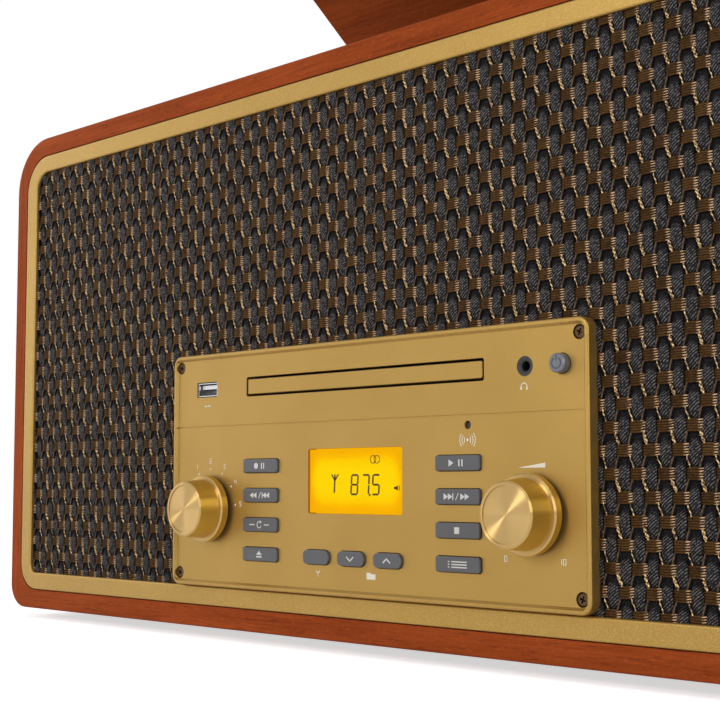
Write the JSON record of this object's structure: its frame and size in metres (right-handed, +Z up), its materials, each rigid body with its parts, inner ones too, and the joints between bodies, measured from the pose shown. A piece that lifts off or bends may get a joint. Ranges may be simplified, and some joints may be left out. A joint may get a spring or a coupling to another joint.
{
  "type": "stereo music centre",
  "caption": "Wooden tabletop music centre: hinged lid over a turntable, woven speaker cloth, gold control panel with disc tray, display, knobs and push buttons.",
  "frame": {"origin": "on the floor, at the middle of the whole object's width and depth as it stands with its lid open", "axes": "+X to the object's right as seen from the front, -Y out of the control panel towards the user, +Z up"},
  "size_m": [0.508, 0.3622, 0.4434],
  "materials": {
    "veneer": "satin veneer",
    "dark_board": "painted hardboard",
    "raw_board": "raw fibreboard",
    "gold_paint": "satin metallic",
    "grille_weave": "woven",
    "foot_rubber": "matte",
    "belt_rubber": "matte",
    "black_screw": "black zinc",
    "bronze_screw": "dark bronze",
    "display_window": "clear",
    "display_amber": "back-lit",
    "socket_steel": "plated",
    "socket_black": "moulded",
    "led_lens": "tinted",
    "knob_brass": "spun",
    "button_gray": "satin",
    "power_gray": "satin",
    "board_green": "lacquered",
    "sheet_steel": "zinc plated",
    "cone_paper": "pressed paper",
    "hinge_steel": "plated",
    "deck_plastic": "fine grain",
    "bearing_brass": "turned",
    "platter_metal": "turned",
    "mat_felt": "felt",
    "spindle_steel": "polished",
    "arm_metal": "satin",
    "weight_steel": "turned",
    "arm_black": "moulded",
    "adapter_metal": "turned",
    "tray_plastic": "moulded"
  },
  "bodies": {
    "cabinet": {"cabinet_shell": "veneer", "back_panel": "dark_board", "back_screws": "black_screw", "feet": "foot_rubber", "trim_frame": "gold_paint", "baffle_board": "raw_board", "grille_cloth": "grille_weave", "speaker_frames": "sheet_steel", "speaker_cones": "cone_paper", "control_panel": "gold_paint", "panel_screws": "bronze_screw", "display_window": "display_window", "display_module": "display_amber", "usb_socket": "socket_steel", "aux_socket": "socket_black", "status_led": "led_lens", "selector_switch": "sheet_steel", "volume_control": "sheet_steel", "key_board": "board_green", "disc_loader": "sheet_steel", "main_board": "board_green", "power_transformer": "sheet_steel", "rear_sockets": "socket_black", "hinge_leaves": "hinge_steel", "turntable_deck": "deck_plastic", "spindle_bearing": "bearing_brass", "drive_motor": "sheet_steel", "drive_belt": "belt_rubber", "tonearm_base": "arm_black", "arm_rest": "arm_black", "record_adapter": "adapter_metal"},
    "lid": {"lid": "veneer", "lid_hinge_leaves": "hinge_steel"},
    "platter": {"platter": "platter_metal", "slip_mat": "mat_felt", "record_spindle": "spindle_steel"},
    "motor_pulley": {"motor_pulley": "bearing_brass"},
    "arm_yoke": {"arm_yoke": "arm_metal"},
    "tonearm": {"tonearm_tube": "arm_metal", "counterweight": "weight_steel", "headshell": "arm_black", "cartridge": "arm_black"},
    "cue_lever": {"cue_lever": "arm_metal"},
    "speed_lever": {"speed_lever": "arm_metal"},
    "disc_tray": {"disc_tray": "tray_plastic", "tray_front": "gold_paint"},
    "function_knob": {"function_knob": "knob_brass"},
    "volume_knob": {"volume_knob": "knob_brass"},
    "power_button": {"power_button": "power_gray"},
    "record_button": {"record_button": "button_gray"},
    "skip_back_button": {"skip_back_button": "button_gray"},
    "repeat_button": {"repeat_button": "button_gray"},
    "eject_button": {"eject_button": "button_gray"},
    "play_button": {"play_button": "button_gray"},
    "skip_forward_button": {"skip_forward_button": "button_gray"},
    "stop_button": {"stop_button": "button_gray"},
    "program_button": {"program_button": "button_gray"},
    "band_button": {"band_button": "button_gray"},
    "folder_down_button": {"folder_down_button": "button_gray"},
    "folder_up_button": {"folder_up_button": "button_gray"}
  },
  "joints": [
    {"name": "lid_hinge", "type": "hinge", "parent": "cabinet", "child": "lid", "pos_m": [0, 0.17741, 0.235], "axis": [-1, 0, 0], "range_deg": [-38, 32]},
    {"name": "platter_spin", "type": "hinge", "parent": "cabinet", "child": "platter", "pos_m": [-0.05, 0.00726, 0.1861], "axis": [0, 0, -1], "continuous": true},
    {"name": "pulley_spin", "type": "hinge", "parent": "cabinet", "child": "motor_pulley", "pos_m": [-0.13485, 0.09211, 0.1861], "axis": [0, 0, -1], "continuous": true},
    {"name": "arm_swing", "type": "hinge", "parent": "cabinet", "child": "arm_yoke", "pos_m": [0.132, 0.10326, 0.1926], "axis": [0, 0, -1], "range_deg": [0, 49]},
    {"name": "arm_tilt", "type": "hinge", "parent": "arm_yoke", "child": "tonearm", "pos_m": [0.132, 0.10326, 0.2176], "axis": [1, 0, 0], "range_deg": [0, 1.4]},
    {"name": "cue_lever_turn", "type": "hinge", "parent": "cabinet", "child": "cue_lever", "pos_m": [0.162, 0.09426, 0.1956], "axis": [1, 0, 0], "range_deg": [0, 48]},
    {"name": "speed_lever_slide", "type": "slide", "parent": "cabinet", "child": "speed_lever", "axis": [0, 1, 0], "range_m": [0, 0.012]},
    {"name": "disc_tray_slide", "type": "slide", "parent": "cabinet", "child": "disc_tray", "axis": [0, -1, 0], "range_m": [0, 0.13]},
    {"name": "function_knob_turn", "type": "hinge", "parent": "cabinet", "child": "function_knob", "pos_m": [-0.0886, -0.16579, 0.0564], "axis": [0, 1, 0], "range_deg": [-54, 54]},
    {"name": "volume_knob_turn", "type": "hinge", "parent": "cabinet", "child": "volume_knob", "pos_m": [0.0886, -0.16579, 0.0564], "axis": [0, 1, 0], "range_deg": [-150, 150]},
    {"name": "power_button_press", "type": "slide", "parent": "cabinet", "child": "power_button", "axis": [0, 1, 0], "range_m": [0, 0.002], "stiffness_N_per_m": 500, "springref_m": -0.002},
    {"name": "record_button_press", "type": "slide", "parent": "cabinet", "child": "record_button", "axis": [0, 1, 0], "range_m": [0, 0.0007], "stiffness_N_per_m": 800, "springref_m": -0.001},
    {"name": "skip_back_button_press", "type": "slide", "parent": "cabinet", "child": "skip_back_button", "axis": [0, 1, 0], "range_m": [0, 0.0007], "stiffness_N_per_m": 800, "springref_m": -0.001},
    {"name": "repeat_button_press", "type": "slide", "parent": "cabinet", "child": "repeat_button", "axis": [0, 1, 0], "range_m": [0, 0.0007], "stiffness_N_per_m": 800, "springref_m": -0.001},
    {"name": "eject_button_press", "type": "slide", "parent": "cabinet", "child": "eject_button", "axis": [0, 1, 0], "range_m": [0, 0.0007], "stiffness_N_per_m": 800, "springref_m": -0.001},
    {"name": "play_button_press", "type": "slide", "parent": "cabinet", "child": "play_button", "axis": [0, 1, 0], "range_m": [0, 0.0007], "stiffness_N_per_m": 800, "springref_m": -0.001},
    {"name": "skip_forward_button_press", "type": "slide", "parent": "cabinet", "child": "skip_forward_button", "axis": [0, 1, 0], "range_m": [0, 0.0007], "stiffness_N_per_m": 800, "springref_m": -0.001},
    {"name": "stop_button_press", "type": "slide", "parent": "cabinet", "child": "stop_button", "axis": [0, 1, 0], "range_m": [0, 0.0007], "stiffness_N_per_m": 800, "springref_m": -0.001},
    {"name": "program_button_press", "type": "slide", "parent": "cabinet", "child": "program_button", "axis": [0, 1, 0], "range_m": [0, 0.0007], "stiffness_N_per_m": 800, "springref_m": -0.001},
    {"name": "band_button_press", "type": "slide", "parent": "cabinet", "child": "band_button", "axis": [0, 1, 0], "range_m": [0, 0.0007], "stiffness_N_per_m": 800, "springref_m": -0.001},
    {"name": "folder_down_button_press", "type": "slide", "parent": "cabinet", "child": "folder_down_button", "axis": [0, 1, 0], "range_m": [0, 0.0007], "stiffness_N_per_m": 800, "springref_m": -0.001},
    {"name": "folder_up_button_press", "type": "slide", "parent": "cabinet", "child": "folder_up_button", "axis": [0, 1, 0], "range_m": [0, 0.0007], "stiffness_N_per_m": 800, "springref_m": -0.001}
  ],
  "couplings": [
    {"joint": "pulley_spin", "follows": "platter_spin", "ratio": 16.169},
    {"joint": "cue_lever_turn", "follows": "arm_tilt", "ratio": 34}
  ]
}
